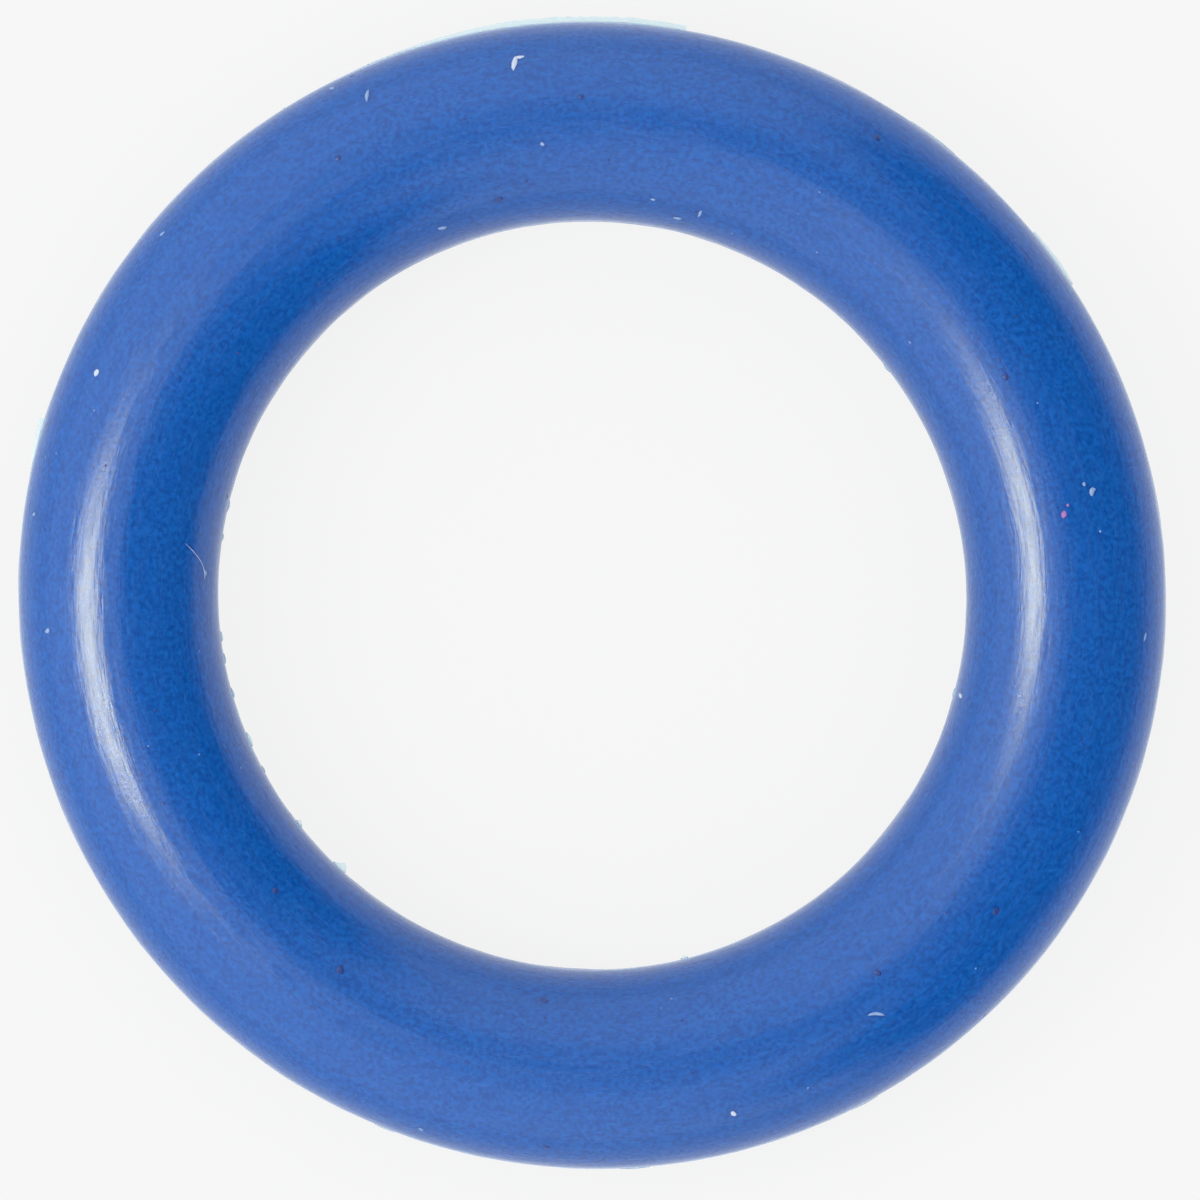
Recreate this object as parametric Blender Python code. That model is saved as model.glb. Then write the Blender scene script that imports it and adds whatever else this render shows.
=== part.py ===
"""A moulded rubber O-ring, lying flat with its centre at the origin and its axis along +Z.

The ring is one solid: a round cord closed on itself, with the low ridge that a
two-part mould leaves at mid-height, round the inside and round the outside.
"""

import math

import bmesh
import bpy

MM = 0.001

# Driving dimensions
BORE_DIAMETER = 7.5 * MM
CORD_DIAMETER = 2.0 * MM
RIDGE_HEIGHT = 0.03 * MM
RIDGE_WIDTH = 0.08 * MM

# How finely the round shapes are faceted; an odd number of facets puts one flat on top
FACETS_PER_HALF_SECTION = 15
FACETS_ROUND_RING = 96

CORD_RADIUS = CORD_DIAMETER / 2
RING_RADIUS = (BORE_DIAMETER + CORD_DIAMETER) / 2

RUBBER_BLUE = (0.003, 0.085, 0.38, 1.0)
RUBBER_ROUGHNESS = 0.35
SHARPEST_SMOOTHED_EDGE = math.radians(30)


def clear_scene():
    for obj in list(bpy.data.objects):
        bpy.data.objects.remove(obj)


def rubber_material():
    material = bpy.data.materials.new("blue_rubber")
    material.use_nodes = True
    shader = material.node_tree.nodes["Principled BSDF"]
    shader.inputs["Base Color"].default_value = RUBBER_BLUE
    shader.inputs["Roughness"].default_value = RUBBER_ROUGHNESS
    shader.inputs["Metallic"].default_value = 0.0
    return material


def half_section(start_angle):
    """One ridge crest and the arc that follows it, as (distance from the cord's centre, angle)."""
    ridge_root = math.asin(RIDGE_WIDTH / 2 / CORD_RADIUS)
    step = (math.pi - 2 * ridge_root) / FACETS_PER_HALF_SECTION
    # Facets touch the true circle at their middles, so the cord is exactly as thick as it should be
    corner_radius = CORD_RADIUS / math.cos(step / 2)
    points = [(CORD_RADIUS + RIDGE_HEIGHT, start_angle)]
    for k in range(FACETS_PER_HALF_SECTION + 1):
        points.append((corner_radius, start_angle + ridge_root + k * step))
    return points


def section_outline():
    """The cord's section in the XZ plane, from the outer ridge over the top and back underneath."""
    outline = half_section(0.0) + half_section(math.pi)
    return [
        (RING_RADIUS + radius * math.cos(angle), 0.0, radius * math.sin(angle))
        for radius, angle in outline
    ]


def make_o_ring():
    """The section spun once round the Z axis."""
    mesh = bmesh.new()
    corners = [mesh.verts.new(point) for point in section_outline()]
    outline = [
        mesh.edges.new((corner, corners[(k + 1) % len(corners)]))
        for k, corner in enumerate(corners)
    ]
    bmesh.ops.spin(
        mesh,
        geom=corners + outline,
        cent=(0, 0, 0),
        axis=(0, 0, 1),
        angle=2 * math.pi,
        steps=FACETS_ROUND_RING,
        use_merge=True,
    )
    bmesh.ops.recalc_face_normals(mesh, faces=mesh.faces)

    data = bpy.data.meshes.new("o_ring")
    mesh.to_mesh(data)
    mesh.free()
    data.shade_smooth()
    data.set_sharp_from_angle(angle=SHARPEST_SMOOTHED_EDGE)
    data.materials.append(rubber_material())

    ring = bpy.data.objects.new("o_ring", data)
    bpy.context.collection.objects.link(ring)
    return ring


clear_scene()
make_o_ring()
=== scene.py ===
"""The looks of a blue moulded rubber O-ring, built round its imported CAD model."""

import math

import bpy
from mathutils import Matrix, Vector, noise


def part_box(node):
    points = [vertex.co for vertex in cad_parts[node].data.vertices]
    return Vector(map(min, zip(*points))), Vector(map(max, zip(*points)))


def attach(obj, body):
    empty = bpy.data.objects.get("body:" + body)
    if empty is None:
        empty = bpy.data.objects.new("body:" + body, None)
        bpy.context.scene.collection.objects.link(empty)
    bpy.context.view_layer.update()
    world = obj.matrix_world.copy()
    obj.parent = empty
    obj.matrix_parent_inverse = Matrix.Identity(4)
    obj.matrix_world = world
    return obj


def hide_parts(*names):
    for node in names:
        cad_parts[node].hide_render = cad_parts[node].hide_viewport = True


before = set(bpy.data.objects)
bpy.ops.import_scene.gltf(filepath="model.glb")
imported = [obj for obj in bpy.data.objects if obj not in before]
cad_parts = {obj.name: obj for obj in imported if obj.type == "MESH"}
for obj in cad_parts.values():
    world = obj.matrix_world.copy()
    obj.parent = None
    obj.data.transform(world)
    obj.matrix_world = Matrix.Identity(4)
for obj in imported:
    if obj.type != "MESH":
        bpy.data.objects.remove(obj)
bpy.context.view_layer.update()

MM = 0.001


# ---------------------------------------------------------------------------------------------
# The ring: one endless round cord of blue rubber, pressed to shape between two heated mould
# halves. It keeps the halves' turning marks, and a low uneven ridge where they met.
# ---------------------------------------------------------------------------------------------

ring_low, ring_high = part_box("o_ring")
CORD_RADIUS = (ring_high.z - ring_low.z) / 2
CAD_RIDGE = 0.03 * MM
RING_RADIUS = (ring_high.x - ring_low.x) / 2 - CAD_RIDGE - CORD_RADIUS

# The visual ridge is lower than the CAD one, which would show as a dark line
FACETS_ROUND_RING = 540
FACETS_ROUND_CORD = 176
CROWDING_AT_PARTING_LINE = 0.8
OVAL_STRETCH = 0.005
OVAL_DIRECTION = math.radians(135)
RIDGE_HEIGHT = 0.006 * MM
RIDGE_HALF_WIDTH = 0.03 * MM
RIDGE_PATCHES_PER_METRE = 1500
RIDGE_ABSENT_BELOW = 0.42
RIDGE_FULL_ABOVE = 0.68
RIDGE_SEED = 4.0


def add_node(tree, kind, **settings):
    """A node of that kind, with its own properties set."""
    node = tree.nodes.new(kind)
    for name, value in settings.items():
        setattr(node, name, value)
    return node


def feed(tree, socket, value):
    """Joins a socket to another, or gives it a plain value."""
    if isinstance(value, bpy.types.NodeSocket):
        tree.links.new(value, socket)
    else:
        socket.default_value = value


def maths(tree, operation, *values):
    """One step of arithmetic; a vector step if it is named with a leading 'v:'."""
    is_vector = operation.startswith("v:")
    kind = "ShaderNodeVectorMath" if is_vector else "ShaderNodeMath"
    node = add_node(tree, kind, operation=operation.removeprefix("v:"))
    places = [socket for socket in node.inputs if socket.enabled]
    for socket, value in zip(places, values):
        feed(tree, socket, value)
    return next(socket for socket in node.outputs if socket.enabled)


def new_tree(name, inputs):
    """A Geometry Nodes tree with named inputs, given as (name, type, value)."""
    tree = bpy.data.node_groups.new(name, "GeometryNodeTree")
    tree.is_modifier = True
    for label, kind, value in inputs:
        socket = tree.interface.new_socket(label, in_out="INPUT", socket_type=kind)
        if value is not None:
            socket.default_value = value
    tree.interface.new_socket("Geometry", in_out="OUTPUT", socket_type="NodeSocketGeometry")
    return tree


def made_by(tree, name, material, **values):
    """The plain mesh that a tree makes, as an object at the origin."""
    holder = bpy.data.objects.new(name + "_holder", bpy.data.meshes.new(name + "_holder"))
    bpy.context.collection.objects.link(holder)
    modifier = holder.modifiers.new(name, "NODES")
    modifier.node_group = tree
    for item in tree.interface.items_tree:
        if item.in_out == "INPUT" and item.name in values:
            modifier[item.identifier] = values[item.name]
        if item.in_out == "INPUT" and item.name == "Material":
            modifier[item.identifier] = material
    graph = bpy.context.evaluated_depsgraph_get()
    mesh = bpy.data.meshes.new_from_object(holder.evaluated_get(graph))
    mesh.name = name
    bpy.data.objects.remove(holder)
    made = bpy.data.objects.new(name, mesh)
    bpy.context.collection.objects.link(made)
    return made


def pulled_oval(tree, given, geometry):
    """Moulded rings are never quite round: long one way, and short the other by as much."""
    position = add_node(tree, "GeometryNodeInputPosition").outputs[0]
    long_way = add_node(tree, "ShaderNodeCombineXYZ")
    feed(tree, long_way.inputs["X"], maths(tree, "COSINE", given["Oval Direction"]))
    feed(tree, long_way.inputs["Y"], maths(tree, "SINE", given["Oval Direction"]))
    along = maths(tree, "v:PROJECT", position, long_way.outputs[0])
    flat = maths(tree, "v:MULTIPLY", position, (1.0, 1.0, 0.0))
    across = maths(tree, "v:SUBTRACT", flat, along)
    stretch = maths(tree, "v:SCALE", maths(tree, "v:SUBTRACT", along, across))
    feed(tree, stretch.node.inputs["Scale"], given["Oval Stretch"])
    oval = add_node(tree, "GeometryNodeSetPosition")
    feed(tree, oval.inputs["Geometry"], geometry)
    feed(tree, oval.inputs["Offset"], stretch)
    return oval.outputs["Geometry"]


def painted(tree, given, geometry):
    """The end of a tree: instances made real, the material set, and the result handed out."""
    real = add_node(tree, "GeometryNodeRealizeInstances")
    feed(tree, real.inputs["Geometry"], geometry)
    paint = add_node(tree, "GeometryNodeSetMaterial")
    feed(tree, paint.inputs["Geometry"], real.outputs["Geometry"])
    feed(tree, paint.inputs["Material"], given["Material"])
    feed(tree, add_node(tree, "NodeGroupOutput").inputs["Geometry"], paint.outputs["Geometry"])


def ring_tree():
    """A circle swept along a circle, made slightly oval, with the parting-line ridge raised."""
    tree = new_tree(
        "moulded_ring",
        [
            ("Ring Radius", "NodeSocketFloat", RING_RADIUS),
            ("Cord Radius", "NodeSocketFloat", CORD_RADIUS),
            ("Facets Round Ring", "NodeSocketInt", FACETS_ROUND_RING),
            ("Facets Round Cord", "NodeSocketInt", FACETS_ROUND_CORD),
            ("Crowding", "NodeSocketFloat", CROWDING_AT_PARTING_LINE),
            ("Oval Stretch", "NodeSocketFloat", OVAL_STRETCH),
            ("Oval Direction", "NodeSocketFloat", OVAL_DIRECTION),
            ("Ridge Height", "NodeSocketFloat", RIDGE_HEIGHT),
            ("Ridge Half Width", "NodeSocketFloat", RIDGE_HALF_WIDTH),
            ("Ridge Patches Per Metre", "NodeSocketFloat", RIDGE_PATCHES_PER_METRE),
            ("Seed", "NodeSocketFloat", RIDGE_SEED),
            ("Material", "NodeSocketMaterial", None),
        ],
    )
    given = add_node(tree, "NodeGroupInput").outputs
    path = add_node(tree, "GeometryNodeCurvePrimitiveCircle")
    feed(tree, path.inputs["Resolution"], given["Facets Round Ring"])
    feed(tree, path.inputs["Radius"], given["Ring Radius"])
    section = add_node(tree, "GeometryNodeCurvePrimitiveCircle")
    feed(tree, section.inputs["Resolution"], given["Facets Round Cord"])
    feed(tree, section.inputs["Radius"], given["Cord Radius"])

    # The section's points are crowded towards the parting line, where the detail is finest
    place = add_node(tree, "ShaderNodeSeparateXYZ")
    feed(tree, place.inputs[0], add_node(tree, "GeometryNodeInputPosition").outputs[0])
    turn = maths(tree, "ARCTAN2", place.outputs["Y"], place.outputs["X"])
    pull = maths(tree, "SINE", maths(tree, "MULTIPLY", turn, 2.0))
    pull = maths(tree, "MULTIPLY", pull, maths(tree, "MULTIPLY", given["Crowding"], 0.5))
    turn = maths(tree, "SUBTRACT", turn, pull)
    crowded = add_node(tree, "ShaderNodeCombineXYZ")
    for axis, function in (("X", "COSINE"), ("Y", "SINE")):
        reach = maths(tree, "MULTIPLY", maths(tree, function, turn), given["Cord Radius"])
        feed(tree, crowded.inputs[axis], reach)
    crowd = add_node(tree, "GeometryNodeSetPosition")
    feed(tree, crowd.inputs["Geometry"], section.outputs["Curve"])
    feed(tree, crowd.inputs["Position"], crowded.outputs[0])

    sweep = add_node(tree, "GeometryNodeCurveToMesh")
    feed(tree, sweep.inputs["Curve"], path.outputs["Curve"])
    feed(tree, sweep.inputs["Profile Curve"], crowd.outputs["Geometry"])

    # The ridge rises where height above the parting line is small, in patches round the ring
    position = add_node(tree, "GeometryNodeInputPosition").outputs[0]
    place = add_node(tree, "ShaderNodeSeparateXYZ")
    feed(tree, place.inputs[0], position)
    away = maths(tree, "DIVIDE", place.outputs["Z"], given["Ridge Half Width"])
    crest = maths(tree, "EXPONENT", maths(tree, "MULTIPLY", maths(tree, "POWER", away, 2.0), -1.0))
    patches = add_node(tree, "ShaderNodeTexNoise", noise_dimensions="4D")
    feed(tree, patches.inputs["Vector"], position)
    feed(tree, patches.inputs["W"], given["Seed"])
    feed(tree, patches.inputs["Scale"], given["Ridge Patches Per Metre"])
    patches.inputs["Detail"].default_value = 3.0
    patchy = add_node(tree, "ShaderNodeMapRange")
    feed(tree, patchy.inputs["Value"], patches.outputs["Fac"])
    patchy.inputs["From Min"].default_value = RIDGE_ABSENT_BELOW
    patchy.inputs["From Max"].default_value = RIDGE_FULL_ABOVE
    rise = maths(tree, "MULTIPLY", crest, patchy.outputs["Result"])
    rise = maths(tree, "MULTIPLY", rise, given["Ridge Height"])
    lift = maths(tree, "v:SCALE", add_node(tree, "GeometryNodeInputNormal").outputs[0])
    feed(tree, lift.node.inputs["Scale"], rise)
    ridge = add_node(tree, "GeometryNodeSetPosition")
    feed(tree, ridge.inputs["Geometry"], sweep.outputs["Mesh"])
    feed(tree, ridge.inputs["Offset"], lift)

    shape = pulled_oval(tree, given, ridge.outputs["Geometry"])
    smooth = add_node(tree, "GeometryNodeSetShadeSmooth")
    feed(tree, smooth.inputs["Geometry"], shape)
    painted(tree, given, smooth.outputs["Geometry"])
    return tree


RUBBER_BLUE = (0.0001, 0.055, 0.248, 1.0)
RUBBER_PALER = (0.0032, 0.092, 0.352, 1.0)
RUBBER_IOR = 1.5
SUBSURFACE = 0.8
SUBSURFACE_SHARES = (0.3, 0.6, 1.0)
SUBSURFACE_DEPTH = 1.3 * MM
SHEEN = 0.80
SHEEN_ROUGHNESS = 0.17
SHEEN_TINT = (0.70, 0.86, 1.0, 1.0)
SMOOTHEST = 0.18
ROUGHEST = 0.30
STREAKS_ROUND_CORD = 17.0
STREAKS_ROUND_RING = 10.0
GRAIN_PER_METRE = 22000.0
NOISE_LOW = 0.35
NOISE_HIGH = 0.65
TURNING_MARK_DEPTH = 0.0065 * MM
GRAIN_DEPTH = 0.0025 * MM


def cord_position(tree):
    """A point on the skin, its separate coordinates, and how far it lies outside the cord's middle."""
    place = add_node(tree, "ShaderNodeSeparateXYZ")
    point = add_node(tree, "ShaderNodeTexCoord").outputs["Object"]
    feed(tree, place.inputs[0], point)
    flat = maths(tree, "v:MULTIPLY", point, (1.0, 1.0, 0.0))
    outward = maths(tree, "SUBTRACT", maths(tree, "v:LENGTH", flat), RING_RADIUS)
    return point, place, outward


def rubber_material():
    material = bpy.data.materials.new("blue_rubber")
    material.use_nodes = True
    tree = material.node_tree
    shader = tree.nodes["Principled BSDF"]
    shader.inputs["IOR"].default_value = RUBBER_IOR
    shader.inputs["Subsurface Weight"].default_value = SUBSURFACE
    shader.inputs["Subsurface Radius"].default_value = SUBSURFACE_SHARES
    shader.inputs["Subsurface Scale"].default_value = SUBSURFACE_DEPTH
    shader.inputs["Sheen Weight"].default_value = SHEEN
    shader.inputs["Sheen Roughness"].default_value = SHEEN_ROUGHNESS
    shader.inputs["Sheen Tint"].default_value = SHEEN_TINT
    point, place, outward = cord_position(tree)

    # Turning marks: noise drawn out along the ring, without a seam either way round
    around = add_node(tree, "ShaderNodeCombineXYZ")
    step_along = STREAKS_ROUND_RING / RING_RADIUS
    step_across = STREAKS_ROUND_CORD / CORD_RADIUS
    feed(tree, around.inputs["X"], maths(tree, "MULTIPLY", place.outputs["X"], step_along))
    feed(tree, around.inputs["Y"], maths(tree, "MULTIPLY", place.outputs["Y"], step_along))
    feed(tree, around.inputs["Z"], maths(tree, "MULTIPLY", outward, step_across))
    streaks = add_node(tree, "ShaderNodeTexNoise", noise_dimensions="4D")
    feed(tree, streaks.inputs["Vector"], around.outputs[0])
    feed(tree, streaks.inputs["W"], maths(tree, "MULTIPLY", place.outputs["Z"], step_across))
    streaks.inputs["Scale"].default_value = 1.0
    streaks.inputs["Detail"].default_value = 3.0
    streaks.inputs["Roughness"].default_value = 0.6

    grain = add_node(tree, "ShaderNodeTexNoise")
    feed(tree, grain.inputs["Vector"], point)
    grain.inputs["Scale"].default_value = GRAIN_PER_METRE
    grain.inputs["Detail"].default_value = 3.0

    gloss = add_node(tree, "ShaderNodeMapRange")
    feed(tree, gloss.inputs["Value"], streaks.outputs["Fac"])
    gloss.inputs["From Min"].default_value = NOISE_LOW
    gloss.inputs["From Max"].default_value = NOISE_HIGH
    gloss.inputs["To Min"].default_value = SMOOTHEST
    gloss.inputs["To Max"].default_value = ROUGHEST
    feed(tree, shader.inputs["Roughness"], gloss.outputs["Result"])

    speckle = add_node(tree, "ShaderNodeMapRange")
    feed(tree, speckle.inputs["Value"], grain.outputs["Fac"])
    speckle.inputs["From Min"].default_value = NOISE_LOW
    speckle.inputs["From Max"].default_value = NOISE_HIGH
    mottle = add_node(tree, "ShaderNodeMix", data_type="RGBA")
    feed(tree, mottle.inputs["Factor"], speckle.outputs["Result"])
    mottle.inputs[6].default_value = RUBBER_BLUE
    mottle.inputs[7].default_value = RUBBER_PALER
    feed(tree, shader.inputs["Base Color"], mottle.outputs[2])

    marks = add_node(tree, "ShaderNodeBump")
    marks.inputs["Strength"].default_value = 0.6
    marks.inputs["Distance"].default_value = TURNING_MARK_DEPTH
    feed(tree, marks.inputs["Height"], streaks.outputs["Fac"])
    bumps = add_node(tree, "ShaderNodeBump")
    bumps.inputs["Strength"].default_value = 0.4
    bumps.inputs["Distance"].default_value = GRAIN_DEPTH
    feed(tree, bumps.inputs["Height"], grain.outputs["Fac"])
    feed(tree, bumps.inputs["Normal"], marks.outputs["Normal"])
    feed(tree, shader.inputs["Normal"], bumps.outputs["Normal"])
    return material


ring = made_by(ring_tree(), "moulded_ring", rubber_material())
# The ring is left out of its own gloss, where it drew a dark line inside its inner edge
ring.visible_glossy = False
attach(ring, "root")
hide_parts("o_ring")


# ---------------------------------------------------------------------------------------------
# Flash: films of the same rubber, squeezed out where the mould halves meet and left on when the
# ring was torn free. They are so thin that they look like pale glass, and end where they tore.
# ---------------------------------------------------------------------------------------------

FILM_ROOT = 0.03 * MM
FILM_HALF_THICKNESS = 0.009 * MM
FILM_EDGE_HALF_THICKNESS = 0.004 * MM
FILM_STEP = 0.2
FILM_RAGGED = 0.16
FILM_IOR = 1.41
FILM_ROUGHNESS = 0.25
FILM_CLEARNESS = 0.92
FILM_CLOUDS_PER_METRE = 9000.0
FILM_TINT = (0.72, 0.94, 1.0, 1.0)
FILM_TINT_PALER = (0.88, 0.98, 1.0, 1.0)

# Each film: where it starts and ends round the ring in degrees, and its heights in mm between
OUTER_FILMS = [
    (33.0, 39.5, (0.022, 0.036, 0.034, 0.028)),
    (50.5, 56.0, (0.006, 0.014, 0.012, 0.005)),
    (80.3, 115.0, (0.046, 0.056, 0.052, 0.058, 0.050, 0.034, 0.018, 0.003)),
    (162.4, 168.5, (0.050, 0.052, 0.030, 0.012, 0.002)),
    (247.4, 249.6, (0.004, 0.014, 0.006)),
    (272.5, 275.5, (0.004, 0.014, 0.004)),
    (296.5, 299.5, (0.004, 0.015, 0.005)),
]
INNER_FILMS = [
    (37.0, 38.6, (0.008, 0.020, 0.006)),
    (165.6, 167.4, (0.008, 0.022, 0.005)),
    (170.8, 171.9, (0.008, 0.018, 0.008)),
    (185.8, 187.4, (0.005, 0.020, 0.028, 0.008)),
    (189.2, 190.8, (0.008, 0.020, 0.006)),
    (194.6, 196.2, (0.006, 0.020, 0.024, 0.006)),
    (201.8, 204.2, (0.010, 0.034, 0.030, 0.012)),
    (207.4, 208.6, (0.010, 0.022, 0.008)),
    (217.3, 218.7, (0.012, 0.044, 0.036, 0.010)),
    (225.8, 228.3, (0.012, 0.040, 0.078, 0.070, 0.020)),
    (283.4, 284.6, (0.010, 0.036, 0.012)),
    (344.4, 346.0, (0.008, 0.022, 0.006)),
]


def made_oval(x, y, z):
    """Where a point of a round ring goes when the ring is pulled oval."""
    turned = math.atan2(y, x) - OVAL_DIRECTION
    reach = math.hypot(x, y)
    along = reach * math.cos(turned) * (1 + OVAL_STRETCH)
    across = reach * math.sin(turned) * (1 - OVAL_STRETCH)
    c, s = math.cos(OVAL_DIRECTION), math.sin(OVAL_DIRECTION)
    return c * along - s * across, s * along + c * across, z


def mesh_piece(name, vertices, faces, material):
    """An object at the origin made of these vertices and faces."""
    mesh = bpy.data.meshes.new(name)
    mesh.from_pydata(vertices, [], faces)
    mesh.materials.append(material)
    mesh.shade_smooth()
    made = bpy.data.objects.new(name, mesh)
    bpy.context.collection.objects.link(made)
    return made


def film_strips(films, edge_radius, outward):
    """Closed strips with a wedge-shaped section, thin at the free edge."""
    vertices, faces = [], []
    for start, end, heights in films:
        steps = max(6, round((end - start) / FILM_STEP))
        first = len(vertices)
        for i in range(steps + 1):
            share = i / steps
            turn = math.radians(start + (end - start) * share)
            stage = min(int(share * (len(heights) - 1)), len(heights) - 2)
            part = share * (len(heights) - 1) - stage
            height = (heights[stage] * (1 - part) + heights[stage + 1] * part) * MM
            wave = noise.noise(Vector((math.degrees(turn) * 1.3, outward, 0.5)))
            notch = noise.noise(Vector((math.degrees(turn) * 3.7, outward, 7.5)))
            height *= 1 + FILM_RAGGED * (wave + min(notch, 0.0))
            root = edge_radius - outward * FILM_ROOT
            tip = edge_radius + outward * height
            sides = (root, -1, 1.0), (tip, -1, 0.0), (tip, 1, 0.0), (root, 1, 1.0)
            for radius, side, thick in sides:
                z = side * (FILM_EDGE_HALF_THICKNESS + thick * FILM_HALF_THICKNESS)
                x, y = radius * math.cos(turn), radius * math.sin(turn)
                vertices.append(made_oval(x, y, z))
        for i in range(steps):
            for k in range(4):
                a, b = first + 4 * i + k, first + 4 * i + (k + 1) % 4
                face = (a, b, b + 4, a + 4)
                faces.append(face if outward < 0 else face[::-1])
        cap = tuple(range(first, first + 4))
        last = tuple(range(first + 4 * steps, first + 4 * steps + 4))
        faces.append(cap[::-1] if outward < 0 else cap)
        faces.append(last if outward < 0 else last[::-1])
    return vertices, faces


def film_material():
    material = bpy.data.materials.new("thin_rubber_film")
    material.use_nodes = True
    tree = material.node_tree
    shader = tree.nodes["Principled BSDF"]
    shader.inputs["IOR"].default_value = FILM_IOR
    shader.inputs["Roughness"].default_value = FILM_ROUGHNESS
    shader.inputs["Transmission Weight"].default_value = FILM_CLEARNESS
    cloudy = add_node(tree, "ShaderNodeTexNoise")
    feed(tree, cloudy.inputs["Vector"], add_node(tree, "ShaderNodeTexCoord").outputs["Object"])
    cloudy.inputs["Scale"].default_value = FILM_CLOUDS_PER_METRE
    tint = add_node(tree, "ShaderNodeMix", data_type="RGBA")
    feed(tree, tint.inputs["Factor"], cloudy.outputs["Fac"])
    tint.inputs[6].default_value = FILM_TINT
    tint.inputs[7].default_value = FILM_TINT_PALER
    feed(tree, shader.inputs["Base Color"], tint.outputs[2])
    return material


thin_film = film_material()
outside = film_strips(OUTER_FILMS, RING_RADIUS + CORD_RADIUS, 1)
inside = film_strips(INNER_FILMS, RING_RADIUS - CORD_RADIUS, -1)
outer_flash = mesh_piece("outer_flash", *outside, thin_film)
inner_flash = mesh_piece("inner_flash", *inside, thin_film)
for flash in (outer_flash, inner_flash):
    flash.data.shade_flat()
    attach(flash, "root")


# ---------------------------------------------------------------------------------------------
# Dust and grit: flecks of pale dust and one lint fibre, which clean rubber picks up from a bench,
# and dark grains of unmixed pigment in its skin. The larger ones are placed one by one, and the
# finest are sown at random.
# ---------------------------------------------------------------------------------------------

# Each grain: its place round the ring and across the cord in degrees, length and width in mm,
# how its length is turned from the ring's direction in degrees, and how far it is bent
BRIGHT_FLECKS = [
    (98, 38, 0.20, 0.055, 107, 0.1),
    (97.4, 42, 0.12, 0.040, 0, 0.2),
    (156, 41, 0.085, 0.070, 0, 0.0),
    (345, -70, 0.11, 0.045, 105, 0.0),
    (285, 37, 0.08, 0.050, 60, 0.0),
]
FAINT_FLECKS = [
    (114, 45, 0.18, 0.040, 115, 0.2),
    (117, 68, 0.10, 0.045, 60, 0.0),
    (184, 45, 0.075, 0.055, 60, 0.2),
    (112, -53, 0.10, 0.048, 20, 0.0),
    (77, -61, 0.10, 0.044, 165, 0.0),
    (74, -51, 0.12, 0.032, 95, 0.0),
    (81, -48, 0.05, 0.036, 0, 0.0),
    (12, 21, 0.10, 0.060, 40, 0.3),
    (13, 17, 0.045, 0.036, 0, 0.0),
    (304, 16, 0.17, 0.032, 35, 0.2),
    (177, -61, 0.065, 0.052, 0, 0.0),
    (96, -13, 0.05, 0.040, 30, 0.0),
    (356, 52, 0.10, 0.030, 15, 0.0),
    (347, -22, 0.06, 0.034, 70, 0.0),
    (140, 57, 0.07, 0.036, 20, 0.0),
    (172, 62, 0.06, 0.036, 70, 0.0),
    (252, 61, 0.06, 0.036, 10, 0.0),
]
DARK_GRAINS = [
    (58, 41, 0.085, 0.070, 0, 0.0),
    (120, 16, 0.070, 0.060, 20, 0.0),
    (91, 13, 0.060, 0.050, 50, 0.0),
    (103, -44, 0.090, 0.060, 0, 0.0),
    (223, -24, 0.080, 0.060, 70, 0.0),
    (236, -13, 0.095, 0.080, 10, 0.0),
    (263, -42, 0.080, 0.060, 0, 0.0),
    (265, 52, 0.070, 0.055, 30, 0.0),
    (307, -3, 0.080, 0.060, 60, 0.0),
    (322, 20, 0.085, 0.065, 0, 0.0),
    (28, -4, 0.070, 0.055, 0, 0.0),
]
PINK_FLECKS = [(10, 2, 0.085, 0.055, 30, 0.2), (11, 5, 0.04, 0.03, 0, 0.0)]
FLECK_HEIGHT = 0.25
GRAIN_HEIGHT = 0.06

# The finest grit is sown over the whole skin, except within this share of the cord's radius of
# the line that the ring stands on
STANDS_BELOW = -0.97
PITS_PER_SQUARE_METRE = 5.5e5
PIT_RADIUS = 0.021 * MM
MOTES_PER_SQUARE_METRE = 4.5e5
MOTE_RADIUS = 0.013 * MM
SMALLEST_STRETCH = (0.5, 0.5, 1.0)
LARGEST_STRETCH = (1.3, 1.0, 1.0)
SOWN_FACETS_ROUND_RING = 256
SOWN_FACETS_ROUND_CORD = 64

# The fibre's ends, round the ring and across the cord in degrees, and how far it bows between
FIBRE_START = 173, -41
FIBRE_END = 178, -61
FIBRE_BOW = 5
FIBRE_RADIUS = 0.0065 * MM


def on_cord(round_ring, across_cord):
    """The skin's point at those angles in degrees, with its three directions there.

    Along the cord, outward across it and up from it make a left-handed set, so a shape that is
    placed with them has each face's corners taken the other way round to point outwards.
    """
    turn, lean = math.radians(round_ring), math.radians(across_cord)
    outward = Vector((math.cos(turn), math.sin(turn), 0.0))
    along = Vector((-math.sin(turn), math.cos(turn), 0.0))
    normal = outward * math.sin(lean) + Vector((0.0, 0.0, math.cos(lean)))
    point = outward * RING_RADIUS + normal * CORD_RADIUS
    return point, along, along.cross(normal), normal


def grain_shape():
    """A round pebble of 32 faces, each of its vertices a direction from its middle."""
    points = [Vector((0.0, 0.0, 1.0))]
    for down in (50, 90, 130):
        for k in range(8):
            a, d = math.radians(45 * k), math.radians(down)
            points.append(Vector((math.cos(a) * math.sin(d), math.sin(a) * math.sin(d), math.cos(d))))
    points.append(Vector((0.0, 0.0, -1.0)))
    faces = [(0, 1 + k, 1 + (k + 1) % 8) for k in range(8)]
    for belt in (1, 9):
        for k in range(8):
            a, b = belt + k, belt + (k + 1) % 8
            faces.append((a, a + 8, b + 8, b))
    faces += [(25, 17 + (k + 1) % 8, 17 + k) for k in range(8)]
    return points, faces


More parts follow.
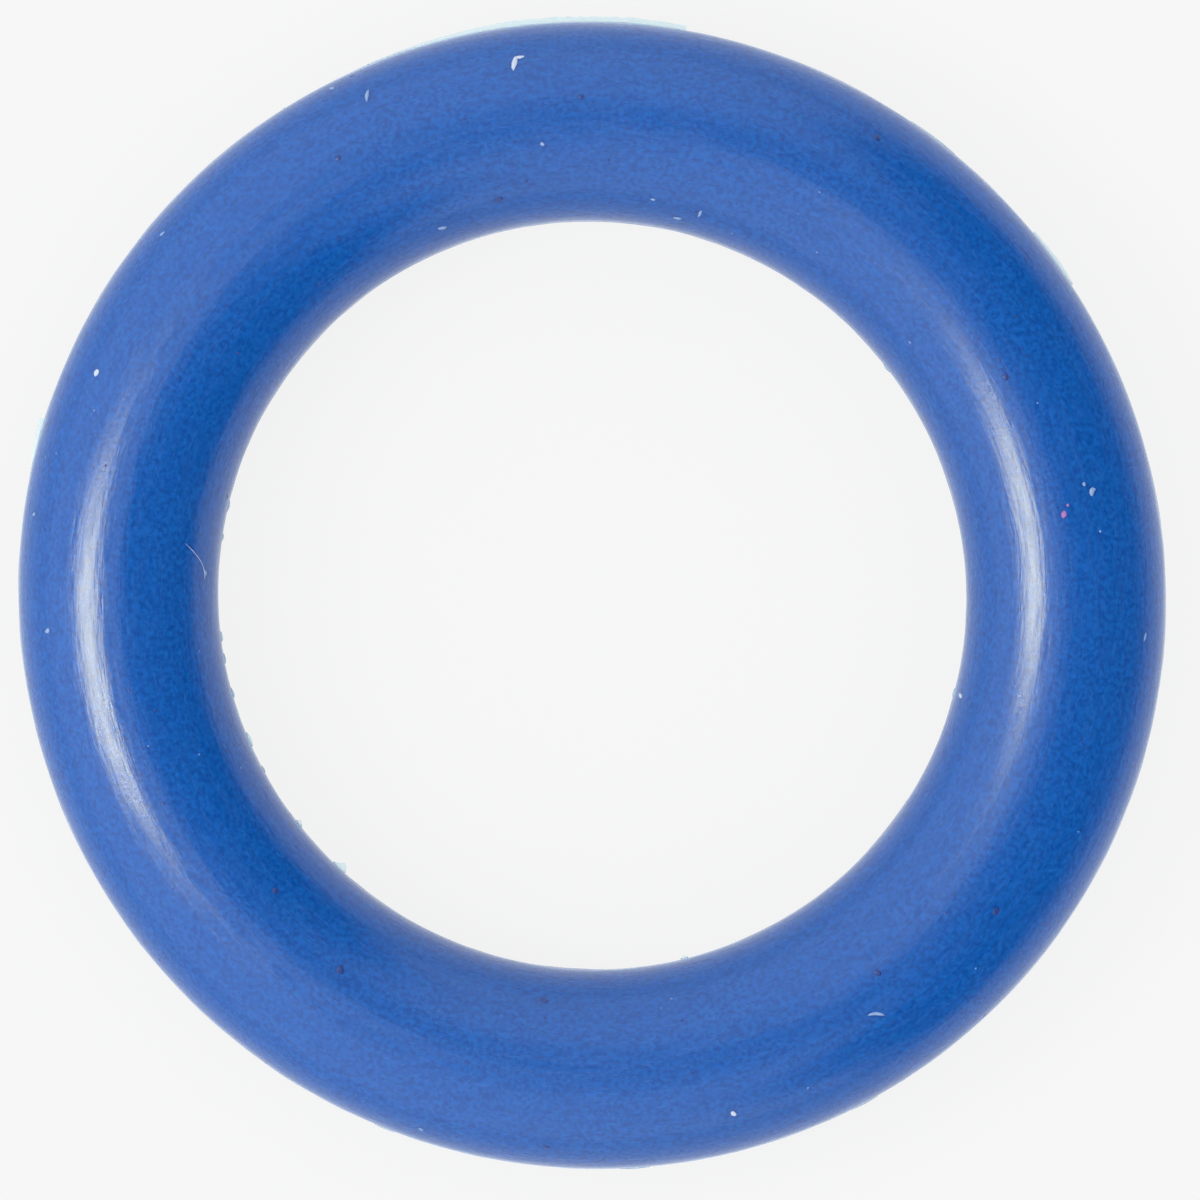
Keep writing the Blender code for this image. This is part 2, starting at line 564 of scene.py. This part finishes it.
def grains(rows, height):
    """Half-sunk pebbles, each a little different, lying in the skin of the ring."""
    shape, shape_faces = grain_shape()
    vertices, faces = [], []
    for number, (round_ring, across_cord, length, width, turned, bent) in enumerate(rows):
        point, along, across, normal = on_cord(round_ring, across_cord)
        swing = math.radians(turned)
        long_way = along * math.cos(swing) + across * math.sin(swing)
        wide_way = across * math.cos(swing) - along * math.sin(swing)
        first = len(vertices)
        for corner in shape:
            uneven = 1 + 0.35 * noise.noise(corner * 1.7 + Vector((number * 3.1, 0.0, 0.0)))
            reach = corner * uneven
            sideways = reach.y + bent * (reach.x * reach.x - 0.5) * length / width
            place = point + long_way * (reach.x * length / 2 * MM)
            place += wide_way * (sideways * width / 2 * MM)
            place += normal * (reach.z * width * height * MM)
            vertices.append(made_oval(*place))
        faces += [tuple(first + k for k in reversed(face)) for face in shape_faces]
    return vertices, faces


def sown_tree():
    """Flat grains of a few faces, sown over a ring and turned to lie in its skin."""
    tree = new_tree(
        "sown_grit",
        [
            ("Ring Radius", "NodeSocketFloat", RING_RADIUS),
            ("Cord Radius", "NodeSocketFloat", CORD_RADIUS),
            ("Oval Stretch", "NodeSocketFloat", OVAL_STRETCH),
            ("Oval Direction", "NodeSocketFloat", OVAL_DIRECTION),
            ("Grains Per Square Metre", "NodeSocketFloat", PITS_PER_SQUARE_METRE),
            ("Grain Radius", "NodeSocketFloat", PIT_RADIUS),
            ("Flatness", "NodeSocketFloat", 0.2),
            ("Seed", "NodeSocketInt", 1),
            ("Material", "NodeSocketMaterial", None),
        ],
    )
    given = add_node(tree, "NodeGroupInput").outputs
    path = add_node(tree, "GeometryNodeCurvePrimitiveCircle")
    path.inputs["Resolution"].default_value = SOWN_FACETS_ROUND_RING
    feed(tree, path.inputs["Radius"], given["Ring Radius"])
    section = add_node(tree, "GeometryNodeCurvePrimitiveCircle")
    section.inputs["Resolution"].default_value = SOWN_FACETS_ROUND_CORD
    feed(tree, section.inputs["Radius"], given["Cord Radius"])
    sweep = add_node(tree, "GeometryNodeCurveToMesh")
    feed(tree, sweep.inputs["Curve"], path.outputs["Curve"])
    feed(tree, sweep.inputs["Profile Curve"], section.outputs["Curve"])
    sow = add_node(tree, "GeometryNodeDistributePointsOnFaces")
    feed(tree, sow.inputs["Mesh"], pulled_oval(tree, given, sweep.outputs["Mesh"]))
    # none on the line that the ring stands on, where a grain would be pressed into the skin
    height = add_node(tree, "ShaderNodeSeparateXYZ")
    feed(tree, height.inputs[0], add_node(tree, "GeometryNodeInputPosition").outputs[0])
    lowest = maths(tree, "MULTIPLY", given["Cord Radius"], STANDS_BELOW)
    off_the_table = maths(tree, "GREATER_THAN", height.outputs["Z"], lowest)
    feed(tree, sow.inputs["Selection"], off_the_table)
    feed(tree, sow.inputs["Density"], given["Grains Per Square Metre"])
    feed(tree, sow.inputs["Seed"], given["Seed"])
    pebble = add_node(tree, "GeometryNodeMeshIcoSphere")
    feed(tree, pebble.inputs["Radius"], given["Grain Radius"])
    chance = add_node(tree, "FunctionNodeRandomValue", data_type="FLOAT_VECTOR")
    chance.inputs[0].default_value = SMALLEST_STRETCH
    chance.inputs[1].default_value = LARGEST_STRETCH
    feed(tree, chance.inputs["Seed"], given["Seed"])
    flat = add_node(tree, "ShaderNodeCombineXYZ")
    flat.inputs["X"].default_value = 1.0
    flat.inputs["Y"].default_value = 1.0
    feed(tree, flat.inputs["Z"], given["Flatness"])
    place = add_node(tree, "GeometryNodeInstanceOnPoints")
    feed(tree, place.inputs["Points"], sow.outputs["Points"])
    feed(tree, place.inputs["Instance"], pebble.outputs["Mesh"])
    feed(tree, place.inputs["Rotation"], sow.outputs["Rotation"])
    size = maths(tree, "v:MULTIPLY", chance.outputs[0], flat.outputs[0])
    feed(tree, place.inputs["Scale"], size)
    painted(tree, given, place.outputs["Instances"])
    return tree


def lint_fibre():
    """A hair-thin six-sided thread lying on the skin in a shallow bow, closed at both ends."""
    vertices, faces = [], []
    steps, sides = 30, 6
    for i in range(steps + 1):
        share = i / steps
        round_ring = FIBRE_START[0] + (FIBRE_END[0] - FIBRE_START[0]) * share
        across_cord = FIBRE_START[1] + (FIBRE_END[1] - FIBRE_START[1]) * share
        across_cord -= FIBRE_BOW * math.sin(math.pi * share)
        point, along, across, normal = on_cord(round_ring, across_cord)
        thick = FIBRE_RADIUS * min(1.0, 4 * share + 0.3, 4 * (1 - share) + 0.3)
        for k in range(sides):
            a = 2 * math.pi * k / sides
            edge = (along - across).normalized() * math.cos(a) + normal * math.sin(a)
            vertices.append(made_oval(*(point + edge * thick + normal * thick * 0.3)))
    for i in range(steps):
        for k in range(sides):
            a, b = i * sides + k, i * sides + (k + 1) % sides
            faces.append((a, a + sides, b + sides, b))
    faces.append(tuple(range(sides)))
    faces.append(tuple(range(steps * sides, steps * sides + sides))[::-1])
    return vertices, faces


DUST_PATCHES_PER_METRE = 30000.0


def grit_material(name, colour, other, roughness):
    material = bpy.data.materials.new(name)
    material.use_nodes = True
    tree = material.node_tree
    shader = tree.nodes["Principled BSDF"]
    shader.inputs["Roughness"].default_value = roughness
    patches = add_node(tree, "ShaderNodeTexNoise")
    feed(tree, patches.inputs["Vector"], add_node(tree, "ShaderNodeTexCoord").outputs["Object"])
    patches.inputs["Scale"].default_value = DUST_PATCHES_PER_METRE
    mix = add_node(tree, "ShaderNodeMix", data_type="RGBA")
    feed(tree, mix.inputs["Factor"], patches.outputs["Fac"])
    mix.inputs[6].default_value = colour
    mix.inputs[7].default_value = other
    feed(tree, shader.inputs["Base Color"], mix.outputs[2])
    return material


bright_dust = grit_material("bright_dust", (0.30, 0.38, 0.52, 1.0), (0.50, 0.56, 0.64, 1.0), 0.8)
faint_dust = grit_material("faint_dust", (0.11, 0.21, 0.43, 1.0), (0.23, 0.33, 0.52, 1.0), 0.7)
dark_pigment = grit_material("dark_pigment", (0.002, 0.030, 0.155, 1.0), (0.012, 0.036, 0.19, 1.0), 0.3)
pink_dust = grit_material("pink_dust", (0.20, 0.09, 0.32, 1.0), (0.33, 0.15, 0.40, 1.0), 0.8)
grit = [
    mesh_piece("bright_flecks", *grains(BRIGHT_FLECKS, FLECK_HEIGHT), bright_dust),
    mesh_piece("faint_flecks", *grains(FAINT_FLECKS, FLECK_HEIGHT), faint_dust),
    mesh_piece("pigment_grains", *grains(DARK_GRAINS, GRAIN_HEIGHT), dark_pigment),
    mesh_piece("pink_flecks", *grains(PINK_FLECKS, FLECK_HEIGHT), pink_dust),
    mesh_piece("lint_fibre", *lint_fibre(), bright_dust),
    made_by(sown_tree(), "fine_pits", dark_pigment, Seed=3),
    made_by(
        sown_tree(),
        "fine_motes",
        faint_dust,
        **{
            "Grains Per Square Metre": MOTES_PER_SQUARE_METRE,
            "Grain Radius": MOTE_RADIUS,
            "Seed": 8,
        },
    ),
]
for piece in grit:
    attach(piece, "root")


# ---------------------------------------------------------------------------------------------
# The table: a plain white sheet that glows evenly, so that the ring casts next to no shadow. In
# the rubber's gloss alone, its far right side is shaded, as the room is on that side.
# ---------------------------------------------------------------------------------------------

TABLE_HALF_SIDE = 400 * MM
TABLE_GLOW = 0.85
TABLE_REFLECTS = 0.05
SHADE_STARTS = 7 * MM
SHADE_FULL = 15 * MM
SHADED_GLOW = 0.12

table_mesh = bpy.data.meshes.new("table")
corners = (-1, -1), (1, -1), (1, 1), (-1, 1)
corners = [(x * TABLE_HALF_SIDE, y * TABLE_HALF_SIDE, ring_low.z) for x, y in corners]
table_mesh.from_pydata(corners, [], [(0, 1, 2, 3)])
table = bpy.data.objects.new("table", table_mesh)
bpy.context.collection.objects.link(table)
table_white = bpy.data.materials.new("table_white")
table_white.use_nodes = True
table_shader = table_white.node_tree.nodes["Principled BSDF"]
table_shader.inputs["Base Color"].default_value = (TABLE_REFLECTS,) * 3 + (1.0,)
table_shader.inputs["Roughness"].default_value = 1.0
table_shader.inputs["Specular IOR Level"].default_value = 0.0
table_shader.inputs["Emission Color"].default_value = (1.0, 1.0, 1.0, 1.0)
tree = table_white.node_tree
table_place = add_node(tree, "ShaderNodeSeparateXYZ")
feed(tree, table_place.inputs[0], add_node(tree, "ShaderNodeTexCoord").outputs["Object"])
shaded = add_node(tree, "ShaderNodeMapRange")
feed(tree, shaded.inputs["Value"], table_place.outputs["X"])
shaded.inputs["From Min"].default_value = SHADE_STARTS
shaded.inputs["From Max"].default_value = SHADE_FULL
shaded.inputs["To Min"].default_value = TABLE_GLOW
shaded.inputs["To Max"].default_value = SHADED_GLOW
in_gloss = add_node(tree, "ShaderNodeMix")
glossy_ray = add_node(tree, "ShaderNodeLightPath").outputs["Is Glossy Ray"]
feed(tree, in_gloss.inputs["Factor"], glossy_ray)
in_gloss.inputs["A"].default_value = TABLE_GLOW
feed(tree, in_gloss.inputs["B"], shaded.outputs["Result"])
feed(tree, table_shader.inputs["Emission Strength"], in_gloss.outputs["Result"])
table_mesh.materials.append(table_white)


# ---------------------------------------------------------------------------------------------
# The light: a white tent with a window of soft light on its left. Its right side is open to a
# darker room, which shows only in the gloss, because the tent lights the rubber from all round.
# The window is two lamps in one place, one for the gloss alone and one for the matt colour alone.
# ---------------------------------------------------------------------------------------------

TENT_LIGHT = 1.40
TENT_TILT = (-0.14, -0.06, 0.0)
TOP_DIMMED_TO = 0.50
TOP_EDGE = 0.80
OPEN_SIDE_LIGHT = 0.06
OPEN_SIDE_HALF_ANGLE = math.radians(58)
OPEN_SIDE_EDGE = (-0.12, 0.14)
DARK_CORNERS = ((0.760, 0.494, 0.423), (0.676, -0.568, 0.469))
CORNER_CORE = math.radians(13)
CORNER_EDGE = math.radians(34)


def ramp(tree, value, start, end, low, high):
    """Goes smoothly from low to high as the value goes from start to end."""
    node = add_node(tree, "ShaderNodeMapRange", interpolation_type="SMOOTHSTEP")
    feed(tree, node.inputs["Value"], value)
    feed(tree, node.inputs["From Min"], start)
    feed(tree, node.inputs["From Max"], end)
    feed(tree, node.inputs["To Min"], low)
    feed(tree, node.inputs["To Max"], high)
    return node.outputs["Result"]


def tent_world():
    world = bpy.data.worlds.new("tent")
    world.use_nodes = True
    world.cycles.sampling_method = "NONE"
    tree = world.node_tree
    way = add_node(tree, "ShaderNodeTexCoord").outputs["Generated"]
    parts = add_node(tree, "ShaderNodeSeparateXYZ")
    feed(tree, parts.inputs[0], way)
    tent = maths(tree, "ADD", maths(tree, "v:DOT_PRODUCT", way, TENT_TILT), TENT_LIGHT)
    top = ramp(tree, parts.outputs["Z"], TOP_EDGE, 1.0, 1.0, TOP_DIMMED_TO)
    seen = maths(tree, "MULTIPLY", tent, top)
    right = maths(tree, "MULTIPLY", parts.outputs["X"], math.sin(OPEN_SIDE_HALF_ANGLE))
    sideways = maths(tree, "ABSOLUTE", parts.outputs["Y"])
    sideways = maths(tree, "MULTIPLY", sideways, math.cos(OPEN_SIDE_HALF_ANGLE))
    inside = maths(tree, "SUBTRACT", right, sideways)
    seen = ramp(tree, inside, *OPEN_SIDE_EDGE, seen, OPEN_SIDE_LIGHT)
    for corner in DARK_CORNERS:
        near = maths(tree, "v:DOT_PRODUCT", way, corner)
        dark = ramp(tree, near, math.cos(CORNER_EDGE), math.cos(CORNER_CORE), 1.0, 0.0)
        seen = maths(tree, "MULTIPLY", seen, dark)
    glossy = add_node(tree, "ShaderNodeLightPath").outputs["Is Glossy Ray"]
    choice = add_node(tree, "ShaderNodeMix")
    feed(tree, choice.inputs["Factor"], glossy)
    feed(tree, choice.inputs["A"], tent)
    feed(tree, choice.inputs["B"], seen)
    feed(tree, tree.nodes["Background"].inputs["Strength"], choice.outputs["Result"])
    tree.nodes["Background"].inputs["Color"].default_value = (1.0, 1.0, 1.0, 1.0)
    return world


bpy.context.scene.world = tent_world()


def soft_window(name, distance, tilt, swing, tall, wide, radiance, colour, gloss_only=False):
    """A flat light aimed at the ring: tilt is from straight above, swing from the left to the front."""
    light = bpy.data.lights.new(name, "AREA")
    light.shape = "RECTANGLE"
    light.color = colour
    light.size = 2 * distance * math.tan(tall / 2)
    light.size_y = 2 * distance * math.tan(wide / 2)
    light.energy = radiance * math.pi * light.size * light.size_y
    lamp = bpy.data.objects.new(name, light)
    lamp.location = (
        -distance * math.sin(tilt) * math.cos(swing),
        -distance * math.sin(tilt) * math.sin(swing),
        distance * math.cos(tilt),
    )
    lamp.rotation_euler = (0.0, -tilt, swing)
    lamp.visible_camera = False
    lamp.visible_diffuse = not gloss_only
    lamp.visible_glossy = gloss_only
    bpy.context.collection.objects.link(lamp)
    return lamp


WINDOW_PLACE = 110 * MM, math.radians(37.5), math.radians(6.5)
WINDOW_SIZE = math.radians(24.5), math.radians(21)
soft_window("window", *WINDOW_PLACE, *WINDOW_SIZE, 15.0, (1.0, 0.95, 0.55), gloss_only=True)
SPILL_PLACE = 60 * MM, math.radians(8.5), math.radians(11)
SPILL_SIZE = math.radians(5.5), math.radians(29)
soft_window("window_spill", *SPILL_PLACE, *SPILL_SIZE, 1.6, (1.0, 1.0, 1.0), gloss_only=True)
soft_window("window_glow", *WINDOW_PLACE, *WINDOW_SIZE, 7.5, (1.0, 1.0, 1.0))


# ---------------------------------------------------------------------------------------------
# The camera: straight above, with a long lens.
# ---------------------------------------------------------------------------------------------

LENS = 600.0
SENSOR = 36.0
FRAME_WIDTH = 12.03 * MM
RING_LEFT_OF_MIDDLE = 0.078 * MM
RING_ABOVE_MIDDLE = 0.047 * MM

camera_data = bpy.data.cameras.new("camera")
camera_data.lens = LENS
camera_data.sensor_width = SENSOR
camera_data.clip_start = 1 * MM
camera_data.clip_end = 2000 * MM
camera = bpy.data.objects.new("camera", camera_data)
camera.location = (RING_LEFT_OF_MIDDLE, -RING_ABOVE_MIDDLE, FRAME_WIDTH * LENS / SENSOR)
bpy.context.collection.objects.link(camera)
bpy.context.scene.camera = camera
bpy.context.scene.view_settings.view_transform = "Standard"
